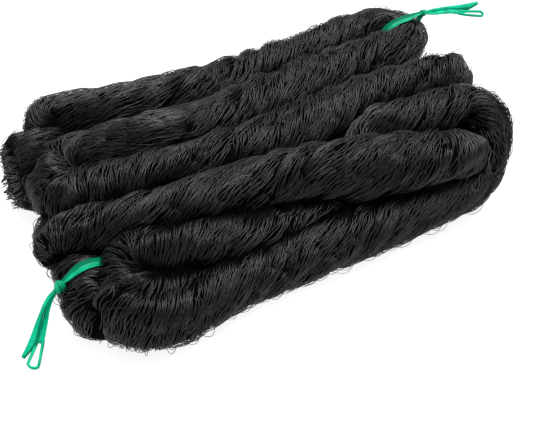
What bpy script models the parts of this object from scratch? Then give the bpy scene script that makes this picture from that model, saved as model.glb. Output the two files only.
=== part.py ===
"""Bird netting, folded into a hank.

One long black net, gathered into a loosely twisted rope and folded back and forth into a bundle of two
layers. A mint green ribbon is tied round a fold at each end, with a knot, a flat free end
and a bow loop.

Metres, +Z up. X runs along the folds, Y from the front of the bundle to its back. The origin lies under
the middle of the bundle, on the surface that carries it.
"""
import math
from collections import namedtuple

import bmesh
import bpy
import numpy as np
from mathutils import Matrix, Vector

MM = 0.001

# ---------------------------------------------------------------- driving sizes, in mm
STEP = 6.0                 # length of one piece of the rope's loft
SIDES = 36                 # sides of the rope's section
LOBES = 5                  # hanks of strands that lie side by side round the rope
TWIST_PITCH = 250.0        # length in which the rope turns once about itself
LOBE_DEPTH = 6.0           # height of a lobe over the valleys beside it
LUMP = 0.045               # slow swelling of the rope, as a share of its radius
FUSE_CELL = 3.0            # cell of the remesh that grows the touching folds together
KEPT_FACES = 0.060         # share of the remeshed faces that is kept
FLOOR_BLOCK = (-400, 400, -300, 300, -30, 0)  # block whose top cuts the underside flat

BAND_WIDTH = 12.0          # ribbon where it goes round a fold
BAND_THICK = 1.8           # folded ribbon, several films thick
BAND_STEPS = 48
BAND_SINK = 3.5            # how far its hidden half is pulled into the netting
BAND_DROP = 0.18           # angle in which its hidden half goes from the knot down to the netting
BAND_BEHIND = 36           # how far that half runs behind the shown one, for a knot out on its own
CLEAR = 0.7                # free space between a tie and the netting
GROOVE_DEPTH = 5.0         # how far outside the band the netting is cleared
KNOT_HALF_SIZE = (5.8, 4.0, 3.9)
KNOT_CLEAR = 1.0           # free space round a knot
END_THICK = 1.6
BOW_THICK = 1.4
RIBBON_STEP = 6.0          # length of one piece of a ribbon's loft
END_LEAN = (0, 1, 0.6)     # way in which the width of a free end runs

# Width of the flat end and of the ribbon that the bow loop springs from. Columns: share of the length, width.
END_WIDTHS = [(0, 3.5), (0.5, 5.6), (0.78, 8.4), (1, 3.6)]
BOW_WIDTHS = [(0, 3.0), (0.5, 5.6), (0.72, 6.6), (0.8, 5.4)]
CUT_START = 0.78           # share of the flat end's length where its slanting cut begins
LOOP_START = 0.64          # share of the bow's length where the loop springs from the ribbon
RIBBON_END = 0.77          # share of the bow's length where the ribbon ends between the loop's sides
LOOP_OPEN = 0.95           # share of the bow's length where the loop is at its widest
LOOP_SECTION = (2.4, 2.0)  # gathered ribbon of the loop: across its plane and in it
LOOP_NECK = 1.7            # half of the space between the loop's two sides where it springs

# The middle of the rope from its cut end to its other, hidden end: a row for each stretch or bend.
# Columns: x, y, z, radius of the rope.
ROUTE = {
    "cut end, lower back run": [
        (-252, 105, 39, 31),
        (-248, 105, 39, 38),
        (-230, 104, 40, 41),
        (-205, 106, 40, 38),
        (-178, 115, 31, 32),
        (-152, 126, 26, 28),
        (-42, 130, 26, 28),
        (68, 132, 26, 28),
        (153, 132, 26, 27),
    ],
    "lower right bend and second lower run": [
        (190, 112, 26, 26),
        (153, 84, 26, 27),
        (58, 78, 26, 28),
        (-82, 78, 26, 28),
        (-165, 82, 27, 27),
    ],
    "rise to the back run": [
        (-202, 114, 46, 22),
        (-199, 134, 72, 22),
        (-176, 128, 71, 25),
        (-149, 119, 73, 27),
        (-107, 110, 73, 29),
        (-71, 107, 72, 29),
        (-38, 105, 72, 30),
        (10, 111, 72, 28),
        (62, 119, 72, 27),
        (118, 127, 73, 26),
        (162, 132, 74, 26),
        (198, 125, 75, 26),
    ],
    "bend with the right tie": [
        (213, 101, 75, 25),
    ],
    "second run": [
        (170, 79, 74, 26),
        (116, 74, 73, 28),
        (72, 68, 73, 29),
        (30, 60, 73, 29),
        (-23, 49, 72, 30),
        (-74, 41, 72, 31),
        (-107, 41, 72, 31),
        (-138, 52, 70, 29),
        (-172, 65, 66, 25),
    ],
    "upper left bend": [
        (-207, 69, 62, 23),
        (-223, 57, 60, 23),
        (-229, 38, 58, 24),
        (-221, 15, 59, 26),
    ],
    "third run": [
        (-200, 4, 65, 27),
        (-157, -2, 69, 27),
        (-128, -7, 70, 27),
        (-99, -12, 71, 28),
        (-57, -14, 71, 29),
        (-10, -10, 72, 29),
        (43, 1, 72, 29),
        (95, 8, 73, 28),
        (150, 9, 73, 27),
        (206, 12, 72, 26),
    ],
    "dive and third lower run": [
        (220, 20, 52, 24),
        (204, 32, 30, 25),
        (150, 36, 26, 27),
        (58, 34, 26, 28),
        (-72, 28, 26, 28),
        (-172, 28, 26, 27),
    ],
    "lower left bend and fourth lower run": [
        (-216, 26, 28, 25),
        (-238, 8, 29, 25),
        (-216, -14, 28, 25),
        (-172, -26, 26, 26),
        (-102, -26, 26, 27),
        (38, -20, 26, 27),
        (128, -32, 26, 26),
        (158, -60, 30, 25),
    ],
    "fourth run, tucked into the big loop": [
        (163, -91, 44, 22),
        (135, -107, 66, 25),
        (92, -105, 72, 27),
        (32, -88, 71, 30),
        (-4, -76, 71, 29),
        (-42, -68, 70, 28),
        (-83, -63, 68, 27),
        (-124, -61, 67, 26),
        (-152, -57, 66, 25),
        (-181, -53, 65, 24),
        (-224, -43, 63, 22),
        (-250, -34, 58, 18),
    ],
    "bend with the left tie": [
        (-260, -33, 48, 16),
        (-247, -39, 34, 17),
        (-246, -58, 29, 25),
        (-242, -80, 30, 28),
        (-246, -101, 28, 28),
        (-244, -112, 27, 24),
        (-208, -114, 26, 25),
    ],
    "lower run that climbs into the big loop": [
        (-152, -82, 26, 26),
        (-42, -76, 26, 27),
        (18, -60, 36, 26),
        (81, -38, 62, 24),
        (110, -44, 72, 25),
        (159, -45, 73, 25),
        (187, -50, 72, 24),
        (198, -70, 66, 23),
        (183, -96, 46, 22),
        (150, -110, 30, 24),
    ],
    "front run on the floor": [
        (104, -118, 27, 24),
        (58, -121, 26, 24),
        (13, -122, 25, 25),
        (-36, -124, 25, 25),
        (-75, -124, 25, 25),
        (-119, -127, 26, 27),
        (-161, -134, 27, 28),
        (-197, -138, 29, 30),
    ],
    "front bend and short front run": [
        (-218, -132, 34, 33),
        (-222, -112, 37, 36),
        (-220, -102, 46, 24),
        (-208, -88, 57, 23),
        (-177, -97, 57, 23),
        (-144, -104, 57, 23),
        (-108, -107, 54, 21),
        (-78, -103, 49, 19),
        (-39, -98, 44, 18),
        (0, -96, 38, 18),
        (45, -92, 28, 20),
        (90, -80, 26, 22),
        (133, -76, 26, 22),
    ],
}

# Straight inner runs that lie hidden between the folds. Columns: lowest x, highest x, y, z, radius.
INNER_RUNS = [
    (-185, 160, 97, 49, 21),
    (-185, 165, 52, 49, 21),
    (-185, 150, 8, 49, 21),
    (-185, 110, -40, 48, 20),
]

Tie = namedtuple("Tie", "name centre radii knot knot_scale flat_end bow loop_width")

# Each tie is a band round a fold, in a plane along X and Z, with its ends led out of a knot. Columns:
# node, middle of the band, its half width and half height, the knot and its scale, the flat end's
# points, the bow's points and how wide its loop opens.
TIES = [
    Tie("tie_left", (-241, -79, 31), (26.5, 25.5), (-270, -79, 44), 1.15,
        [(-283, -84, 38), (-294, -89, 24), (-306, -100, 11), (-317, -108, 3)],
        [(-281, -84, 36), (-290, -91, 22), (-301, -103, 10), (-314, -119, 3)], 9.0),
    Tie("tie_right", (211, 101, 73), (29, 24), (241, 104, 98), 0.85,
        [(258, 107, 96), (281, 107, 93), (303, 107, 89), (325, 109, 86)],
        [(256, 104, 94), (279, 103, 91), (296, 98, 87), (317, 93, 83)], 6.0),
]


# ---------------------------------------------------------------- curves
def path_through(rows, step):
    """Points about a step apart on a smooth curve through the rows; every column is carried along."""
    rows = np.array(rows, dtype=float)
    rows = np.vstack([2 * rows[0] - rows[1], rows, 2 * rows[-1] - rows[-2]])
    chords = np.linalg.norm(np.diff(rows[:, :3], axis=0), axis=1)
    gaps = np.sqrt(chords)
    points = []
    for index in range(1, len(rows) - 2):
        before, here, after, beyond = rows[index - 1:index + 3]
        t1 = gaps[index - 1]
        t2 = t1 + gaps[index]
        t3 = t2 + gaps[index + 1]
        count = max(3, round(chords[index] / step))
        for t in np.linspace(t1, t2, count, endpoint=False):
            first = before + (here - before) * t / t1
            middle = here + (after - here) * (t - t1) / (t2 - t1)
            last = after + (beyond - after) * (t - t2) / (t3 - t2)
            early = first + (middle - first) * t / t2
            late = middle + (last - middle) * (t - t1) / (t3 - t1)
            points.append(early + (late - early) * (t - t1) / (t2 - t1))
    points.append(rows[-2])
    return np.array(points)


def distance_along(points):
    """Length of the path from its start to each of its points."""
    steps = np.linalg.norm(np.diff(points[:, :3], axis=0), axis=1)
    return np.concatenate([[0.0], np.cumsum(steps)])


def carried_frames(points, start=Vector((0, 0, 1))):
    """Two side directions at each point, turned no more than the path itself turns."""
    tangents = np.gradient(points[:, :3], axis=0)
    side = start
    sides = []
    for tangent in (Vector(row).normalized() for row in tangents):
        side = (side - tangent * side.dot(tangent)).normalized()
        sides.append((side, tangent.cross(side)))
    return np.array([[tuple(a), tuple(b)] for a, b in sides])


# ---------------------------------------------------------------- meshes
def object_from(name, mesh_data, collection):
    """New object with a bmesh's faces, in metres."""
    bmesh.ops.recalc_face_normals(mesh_data, faces=mesh_data.faces)
    bmesh.ops.scale(mesh_data, vec=(MM, MM, MM), verts=mesh_data.verts)
    mesh = bpy.data.meshes.new(name)
    mesh_data.to_mesh(mesh)
    mesh_data.free()
    thing = bpy.data.objects.new(name, mesh)
    collection.objects.link(thing)
    return thing


def add_loft(mesh_data, rings, closed=False):
    """Skin over rings of points: a tube with two flat ends, or a closed ring."""
    verts = [[mesh_data.verts.new(point) for point in ring] for ring in rings]
    sides = len(verts[0])
    spans = list(zip(verts, verts[1:]))
    if closed:
        spans.append((verts[-1], verts[0]))
    for here, there in spans:
        for a in range(sides):
            b = (a + 1) % sides
            mesh_data.faces.new((here[a], here[b], there[b], there[a]))
    if not closed:
        mesh_data.faces.new(verts[0])
        mesh_data.faces.new(verts[-1])


def add_block(mesh_data, low_x, high_x, low_y, high_y, low_z, high_z):
    """Box between two corners."""
    size = Vector((high_x - low_x, high_y - low_y, high_z - low_z))
    middle = Vector((high_x + low_x, high_y + low_y, high_z + low_z)) / 2
    place = Matrix.Translation(middle) @ Matrix.Diagonal((*size, 1.0))
    bmesh.ops.create_cube(mesh_data, size=1.0, matrix=place)


def strip_rings(points, across, widths, thickness):
    """Rectangular sections of a ribbon along a path; across is the way its width runs."""
    tangents = np.gradient(points, axis=0)
    rings = []
    for point, tangent, width in zip(points, tangents, widths):
        ahead = Vector(tangent).normalized()
        wide = Vector(across)
        wide = (wide - ahead * wide.dot(ahead)).normalized() * width / 2
        thick = ahead.cross(wide).normalized() * thickness / 2
        middle = Vector(point)
        rings.append([middle - wide - thick, middle + wide - thick,
                      middle + wide + thick, middle - wide + thick])
    return rings


# ---------------------------------------------------------------- the netting
def rope_rings(path):
    """Sections of the twisted rope: lobes that wind round it, and slow swellings."""
    angle = np.linspace(0, 2 * math.pi, SIDES, endpoint=False)[None, :]
    along = distance_along(path)[:, None]
    wander = 0.55 * np.sin(along / 61 + 1.1) + 0.35 * np.sin(along / 23 + 0.4)
    turn = angle + 2 * math.pi * along / TWIST_PITCH + wander
    lobes = np.abs(np.sin(LOBES * turn / 2)) ** 0.7 - 0.62
    depth = LOBE_DEPTH * (1 + 0.35 * np.sin(along / 37 + 2 * angle))
    swell = np.sin(along / 29 + 2 * angle) + 0.8 * np.sin(along / 17 - angle + 1.0)
    radius = path[:, 3:4] * (1 + LUMP * swell / 1.8) + depth * lobes
    frames = carried_frames(path)
    return (path[:, None, :3]
            + radius[..., None] * np.cos(angle)[..., None] * frames[:, None, 0]
            + radius[..., None] * np.sin(angle)[..., None] * frames[:, None, 1])


def make_netting(collection, cutters):
    """The rope on its whole route, its touching folds grown together, its underside pressed flat."""
    rows = [row for stretch in ROUTE.values() for row in stretch]
    mesh_data = bmesh.new()
    add_loft(mesh_data, rope_rings(path_through(rows, STEP)))
    for low_x, high_x, y, z, radius in INNER_RUNS:
        ends = [(low_x, y, z, radius), (high_x, y, z, radius)]
        add_loft(mesh_data, rope_rings(path_through(ends, STEP)))
    netting = object_from("netting", mesh_data, collection)

    fuse = netting.modifiers.new("fuse folds", "REMESH")
    fuse.mode = "VOXEL"
    fuse.voxel_size = FUSE_CELL * MM

    thin = netting.modifiers.new("fewer faces", "DECIMATE")
    thin.ratio = KEPT_FACES

    for cutter in cutters:
        cut = netting.modifiers.new(cutter.name, "BOOLEAN")
        cut.operation = "DIFFERENCE"
        cut.object = cutter
    return netting


# ---------------------------------------------------------------- the ties
def band_line(tie, angle):
    """Place and outward way of the band at an angle: straight from the knot to the fold, and round it."""
    to_knot = Vector(tie.knot) - Vector(tie.centre)
    away = Vector((to_knot.x / tie.radii[0], to_knot.z / tie.radii[1]))
    off = (angle - math.atan2(away.y, away.x) + math.pi) % (2 * math.pi) - math.pi
    off = math.copysign(1, to_knot.x) * off
    leave = math.acos(1 / away.length)
    out = Vector((math.cos(angle), 0, math.sin(angle)))
    if off > 0:
        share = 1 / math.cos(max(leave - off, 0))
        sunk = min(max(-3 * out.z, 0), 1)
        beside = max(1 - off / leave, 0)
        behind = 0
    else:
        sunk = min(-off / BAND_DROP, 1)
        share = away.length - (away.length - 1) * sunk
        beside = 1 - sunk
        behind = BAND_BEHIND * (away.length - 1) ** 2 * sunk * max(1 + off / 2, 0)
    place = Vector((tie.radii[0] * out.x * share, to_knot.y * beside + behind, tie.radii[1] * out.z * share))
    return Vector(tie.centre) + place - out * BAND_SINK * sunk, out


def band_rings(tie, inner, outer, width):
    """Closed band round a fold, between two distances from the band's own middle line."""
    half = Vector((0, width / 2, 0))
    rings = []
    for angle in np.linspace(0, 2 * math.pi, BAND_STEPS, endpoint=False):
        middle, out = band_line(tie, angle)
        rings.append([middle + out * inner - half, middle + out * inner + half,
                      middle + out * outer + half, middle + out * outer - half])
    return rings


def knot_object(name, tie, grown, collection):
    """Lump of the drawn knot."""
    mesh_data = bmesh.new()
    size = [half * tie.knot_scale + grown for half in KNOT_HALF_SIZE]
    place = Matrix.Translation(Vector(tie.knot)) @ Matrix.Diagonal((*size, 1.0))
    bmesh.ops.create_icosphere(mesh_data, subdivisions=2, radius=1.0, matrix=place)
    return object_from(name, mesh_data, collection)


def width_way(points):
    """Unit vector across a free end, in the plane of the ribbon."""
    ahead = Vector(points[-1] - points[0]).normalized()
    wide = Vector(END_LEAN)
    return np.array((wide - ahead * wide.dot(ahead)).normalized())


def flat_end_object(name, tie, collection):
    """Free end of the ribbon: gathered at the knot, opening outwards, cut off at a slant."""
    points = path_through([tie.knot] + tie.flat_end, RIBBON_STEP)
    share = np.linspace(0, 1, len(points))
    widths = np.interp(share, *zip(*END_WIDTHS))
    lost = np.where(share > CUT_START, max(widths) - widths, 0)
    points = points + lost[:, None] / 2 * width_way(points)
    mesh_data = bmesh.new()
    add_loft(mesh_data, strip_rings(points, END_LEAN, widths, END_THICK))
    return object_from(name, mesh_data, collection)


def bow_object(name, tie, collection):
    """Ribbon from the knot to where the bow's loop springs from it."""
    middle = path_through([tie.knot] + tie.bow, RIBBON_STEP)
    share = np.linspace(0, 1, len(middle))
    points = middle[share <= RIBBON_END]
    widths = np.interp(share, *zip(*BOW_WIDTHS))
    mesh_data = bmesh.new()
    add_loft(mesh_data, strip_rings(points, END_LEAN, widths, BOW_THICK))
    return object_from(name, mesh_data, collection)


def loop_object(name, tie, collection):
    """Gathered ribbon that goes out and comes back as a narrow loop with a closed tip."""
    middle = path_through([tie.knot] + tie.bow, RIBBON_STEP)
    share = np.linspace(0, 1, len(middle))
    opening = np.clip((share - LOOP_START) / (LOOP_OPEN - LOOP_START), 0, 1)
    apart = LOOP_NECK + (tie.loop_width / 2 - LOOP_NECK) * opening
    shown = share >= LOOP_START
    wide = width_way(middle)
    aside = (apart[:, None] * wide)[shown]
    ahead = Vector(middle[-1] - middle[0]).normalized()
    tip = middle[-1] + np.outer([1.1, 1.7, 1.1], ahead) + np.outer([0.55, 0, -0.55], aside[-1])
    points = np.vstack([middle[shown] + aside, tip, (middle[shown] - aside)[::-1]])
    across = ahead.cross(Vector(wide))
    widths = np.full(len(points), LOOP_SECTION[0])
    mesh_data = bmesh.new()
    add_loft(mesh_data, strip_rings(points, across, widths, LOOP_SECTION[1]))
    return object_from(name, mesh_data, collection)


def make_tie(tie, collection, helpers):
    """Band, knot, free end and bow, joined into one body."""
    mesh_data = bmesh.new()
    add_loft(mesh_data, band_rings(tie, 0, BAND_THICK, BAND_WIDTH), closed=True)
    band = object_from(tie.name, mesh_data, collection)
    joined = [knot_object(tie.name + " knot", tie, 0, helpers),
              flat_end_object(tie.name + " flat end", tie, helpers),
              bow_object(tie.name + " bow", tie, helpers),
              loop_object(tie.name + " loop", tie, helpers)]
    for shape in joined:
        join = band.modifiers.new(shape.name, "BOOLEAN")
        join.operation = "UNION"
        join.object = shape
    return band


def tie_room(tie, helpers):
    """Cutters that keep the netting off a tie's band and knot."""
    mesh_data = bmesh.new()
    add_loft(mesh_data, band_rings(tie, -CLEAR, BAND_THICK + GROOVE_DEPTH, BAND_WIDTH + 2 * CLEAR),
             closed=True)
    groove = object_from(tie.name + " groove", mesh_data, helpers)
    return [groove, knot_object(tie.name + " knot room", tie, KNOT_CLEAR, helpers)]


def floor_block(helpers):
    """Cutter whose top is the surface that the hank lies on."""
    mesh_data = bmesh.new()
    add_block(mesh_data, *FLOOR_BLOCK)
    return object_from("floor", mesh_data, helpers)


# ---------------------------------------------------------------- scene
def material(name, colour, roughness):
    """Plain Principled material."""
    made = bpy.data.materials.new(name)
    made.use_nodes = True
    shader = made.node_tree.nodes["Principled BSDF"]
    shader.inputs["Base Color"].default_value = (*colour, 1.0)
    shader.inputs["Roughness"].default_value = roughness
    shader.inputs["Metallic"].default_value = 0.0
    return made


def new_collection(name):
    """Collection under the scene's own."""
    made = bpy.data.collections.new(name)
    bpy.context.scene.collection.children.link(made)
    return made


def main():
    for thing in list(bpy.data.objects):
        bpy.data.objects.remove(thing)
    parts = new_collection("bird_netting")
    helpers = new_collection("cutters")

    net_black = material("black net", (0.022, 0.022, 0.024), 0.55)
    tie_green = material("mint green ribbon", (0.0, 0.55, 0.28), 0.35)

    cutters = [shape for tie in TIES for shape in tie_room(tie, helpers)]
    netting = make_netting(parts, cutters + [floor_block(helpers)])
    netting.data.materials.append(net_black)
    for tie in TIES:
        band = make_tie(tie, parts, helpers)
        band.data.materials.append(tie_green)

    for shape in helpers.objects:
        shape.hide_render = True
        shape.display_type = "WIRE"


main()
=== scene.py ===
"""Bird netting hank: the net's strands, its ribbons, materials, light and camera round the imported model.

Sizes in the tables are in mm, in the frame of the CAD: X runs along the folds, Y from the front run to the
back run, Z up from the surface that the hank lies on. Objects are made in metres.
"""
import math
from collections import namedtuple

import bmesh
import bpy
import numpy as np
from mathutils import Matrix, Vector
from mathutils.bvhtree import BVHTree
from mathutils.kdtree import KDTree

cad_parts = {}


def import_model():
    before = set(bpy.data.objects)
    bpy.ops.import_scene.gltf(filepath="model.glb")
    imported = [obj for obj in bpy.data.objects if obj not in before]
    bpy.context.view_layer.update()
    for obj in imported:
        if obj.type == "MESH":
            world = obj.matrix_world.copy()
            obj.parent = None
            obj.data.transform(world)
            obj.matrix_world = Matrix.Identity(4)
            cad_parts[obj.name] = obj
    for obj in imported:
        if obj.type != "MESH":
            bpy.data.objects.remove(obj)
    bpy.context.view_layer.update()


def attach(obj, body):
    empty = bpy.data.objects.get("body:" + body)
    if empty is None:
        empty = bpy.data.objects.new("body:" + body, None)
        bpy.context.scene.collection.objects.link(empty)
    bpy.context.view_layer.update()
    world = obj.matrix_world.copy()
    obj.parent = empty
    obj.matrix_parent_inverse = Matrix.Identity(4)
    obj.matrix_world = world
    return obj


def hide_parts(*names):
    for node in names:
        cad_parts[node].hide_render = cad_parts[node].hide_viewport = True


MM = 0.001
SEED = 20

# ------------ driving sizes
STEP = 4.0                 # distance between two sections of the rope
SIDES = 60                 # sides of a section
LOBES = 5                  # hanks of strands that lie side by side round the rope
TWIST_PITCH = 250.0        # length in which the rope turns once about itself
LOBE_DEPTH = 6.0           # height of a lobe over the valleys beside it
LOBE_ROUND = 0.7           # power that rounds the lobes off
LOBE_BASE = 0.62           # share of a lobe's height that lies inside the rope's radius
LUMP = 0.045               # slow swelling of the rope, as a share of its radius
# Slow waves along the rope. Columns: height, distance for a radian, turns round the rope, start.
WANDER = [(0.55, 61, 0, 1.1), (0.35, 23, 0, 0.4)]   # the lobes' turn about the rope
DEEPENING = [(0.35, 37, 2, 0)]                      # the lobes' depth
SWELL = [(1, 29, 2, 0), (0.8, 17, -1, 1.0)]         # the rope's radius
FUSE_CELL = 3.6            # cell of the remesh that grows the touching folds together
EVEN_SHARE = 0.5           # how far each round of smoothing goes, and how many rounds there are
EVEN_ROUNDS = 2
FLOOR_GAP = 1.3            # height of the body over the floor, for the strands under it
FLOOR_FILM = 0.2           # least height of a ribbon over the floor
FLOOR_HALF = 6000          # half of the floor's side

STRAND_ROOM = 2.4          # how far the body stays inside the CAD's rope, for the strands on it
STRAND_STEP = 4.0          # distance between two points of a strand
STRAND_HEIGHT = 0.9        # height of the strands over the body, without their lock's crown
ROOT_DEPTH = 1.3           # how deep in the body a strand's ends are
STRAND_FLOOR = 0.15        # least height of a strand over the floor
ROPE_MARGIN = 2            # strands keep this far from the rope's two ends
STRETCH_LIMITS = (0.5, 3.5)  # of the surface's length against the rope's at a bend
SHORTEST_RUN = 4           # least number of points of a strand that is kept
NEIGHBOURS = 10            # middle points of locks that are looked at for what lies over a strand
BURIED = 2.2               # a strand goes on until it is this deep in the neighbouring fold
SEED_TRIES = 14000         # places that are tried for the middles of the locks
SEED_MARGIN = 6            # they keep this far from the rope's two ends,
SEED_DEPTH = 1.6           # lie no further than this from the body,
SEED_HEIGHT = 2.0          # and are higher than this
BARE = 2.3                 # a place this far from every strand gets one more lock
FILLED = 6.5               # distance that such a lock is taken to cover

Locks = namedtuple("Locks", "name parts count strands steps radius width lift rise closed")

# Locks of parallel strands, in the order in which they are laid. Columns: name, meshes that they are
# shared out to, most of them, strands in each, steps from a lock's middle to its ends, strand radius,
# lowest and highest width, lowest and highest crown, steps in which an end comes up from the body, and
# whether its strands are closed tubes, because their undersides show.
LOCKS = [
    Locks("net_strands", 3, 820, 10, 10, 0.37, (18, 25), (0.2, 3.0), 2.2, False),
    Locks("net_filling", 1, 700, 7, 5, 0.35, (12, 17), (0.0, 1.2), 1.8, False),
    Locks("net_loose", 1, 900, 2, 5, 0.36, (3, 10), (2.0, 7.0), 5.0, True),
    Locks("net_fringe", 1, 700, 3, 4, 0.32, (3, 9), (3.2, 7.8), 3.0, True),
]
LOCK_TURN = 7              # how much, in degrees, the lean changes from lock to lock
LOCK_BOW = 11              # how much it changes from a lock's middle to its end
LOCK_WAVE = 7              # how high, in degrees, the lean's wave along a lock is
LOCK_WAVE_TURN = 3.5       # radians of that wave in half a lock
LOCK_TAPER = 0.4           # share of its width that a lock loses at its ends
LOCK_COVER = 0.43          # how far from its middle a lock hides what is under it, as a share of its width
COVER_ENDS = 2             # steps at each end of a lock that hide nothing
SCATTER = 0.2              # how much a strand's place changes, as a share of the room for each
PACE = (0.7, 1.3)          # slowest and fastest that a strand waves, against the sizes below
# Waves of a strand, aside and up. Columns: height, distance for a radian, multiple of its own start.
SWAY = [(0.65, 3.1, 1), (0.8, 9, 2)]
BOB = (0.3, 4.3, 3)
CROWN_FALL = 0.6           # share of its crown that a lock loses towards its sides
CROWN_SCATTER = 0.3        # how much the crown changes from strand to strand

RIM_X = 200                # the fringe stands on places beyond this far from the middle,
RIM_Z = 18                 # or below this height

END_RADIUS = 37.0          # half of the cut end's face
END_ROOM = 6.0             # how far before the face its strands are laid out, before they are set on it
END_SLOPE = 34.0           # rise, in degrees, of the strands that cross the face
END_TURN = 5.0             # how much that rise changes from strand to strand
END_PITCH = 0.95           # distance from one strand of the face to the next
END_STRAND = 0.38          # radius of its strands
END_SHORTEST = 3.0         # half of its shortest strand
END_SCATTER = 1.3          # how much a strand wanders in the face
END_RISE = (0.3, 2.6)      # lowest and highest of its strands, over the body
END_WAVE = (0.6, 1.1, 2.3)  # height of their wave, its radians a step and a mm across the face
END_DIVE = 2.0             # how far the last point of a strand is led down
END_FLOOR = 0.8            # least height of the face's strands
# Points of a strand of the face: share of its half length, and distance inwards along the rope.
END_POINTS = [(-1.0, 0), (-0.45, 0), (0.0, 0), (0.45, 0), (0.95, 3), (1.0, 22)]
END_REACH = (32, 60)       # least and most that the last point lies inwards
SPIKES_BELOW = 6.0         # strands that cross lower than this may have a cut tip that sticks out
SPIKE_SHARE = 0.7          # share of them that has one
SPIKE_SHORT = 2.0          # shortest and longest spike
SPIKE_LENGTH = 11.0
SPIKE_AHEAD = 0.4          # how far a spike goes on in the strand's own direction, for 1 mm of length
SPIKE_WAY = np.array([-0.5, 0.1, -0.25])  # how far its tip goes outwards, for 1 mm of length
TUFT = 3                   # strands that end together in a spike
TUFT_SPREAD = 0.7          # how far the others lie from the first one
TUFT_POINTS = 6            # how many points of the first strand the others run along

CAMERA_AIM = (-0.042, -0.040, 0.0)
CAMERA_AZIMUTH = -29.0
CAMERA_ELEVATION = 38.0
CAMERA_DISTANCE = 1.1
CAMERA_SENSOR = 36.0
CAMERA_LENS = 1100 / 533 * CAMERA_SENSOR  # focal length and width of the photo are in pixels

WORLD_LIGHT = 0.65         # even white light from all round
OVERHEAD_LIGHT = 3.4       # wide soft light from above, a little from the right and the back
OVERHEAD_ANGLE = 50.0
OVERHEAD_FROM = (0.25, 0.15, 1.0)
FLOOR_TONE = 0.3           # the floor is lit from below as well, like a light table
FLOOR_GLOW = 0.87

# Grain of a material. Columns: scale and detail of its tones, where on them the darkest ends and the
# lightest begins; then scale, detail, strength and depth, in metres, of its relief.
Grain = namedtuple("Grain", "tone_scale tone_detail tone_from tone_to scale detail strength depth")
TWINE = Grain(260, 3, 0.35, 0.68, 1500, 2, 0.35, 0.0004)
UNDER = TWINE._replace(scale=900)
FILM = Grain(90, 2, 0.3, 0.7, 420, 3, 0.3, 0.0005)

# Materials of the net and the ribbons. Columns: name, darkest and lightest colour, roughness, gloss, grain.
Look = namedtuple("Look", "name dark light roughness gloss grain")
LOOKS = [
    # net_under_shade: the body under the strands; the deeper netting's own black, made far darker and
    # duller than the twine, is painted shade in the gaps between strands
    Look("net_under_shade", (0.0004, 0.0004, 0.0004), (0.002, 0.002, 0.002), 0.95, 0.03, UNDER),
    Look("net_twine", (0.0016, 0.0016, 0.0016), (0.0105, 0.0105, 0.0109), 0.32, 0.43, TWINE),
    # net_cut_end_shade: the same twine made darker and duller, painted shade on the cut end's strands
    Look("net_cut_end_shade", (0.0008, 0.0008, 0.0008), (0.0045, 0.0045, 0.0047), 0.42, 0.20, TWINE),
    # mint_ribbon and mint_ribbon_end are one film; mint_ribbon, on the band and the knot, is about a fifth
    # darker: painted shade
    Look("mint_ribbon", (0.0, 0.25, 0.125), (0.0, 0.43, 0.22), 0.35, 0.14, FILM),
    Look("mint_ribbon_end", (0.0, 0.31, 0.165), (0.0, 0.53, 0.29), 0.35, 0.14, FILM),
    # mint_ribbon_crease_shade: painted shade, a darker and duller green on the strips in the ribbons'
    # creases
    Look("mint_ribbon_crease_shade", (0.0, 0.13, 0.06), (0.0, 0.20, 0.095), 0.6, 0.05, FILM),
]

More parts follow.
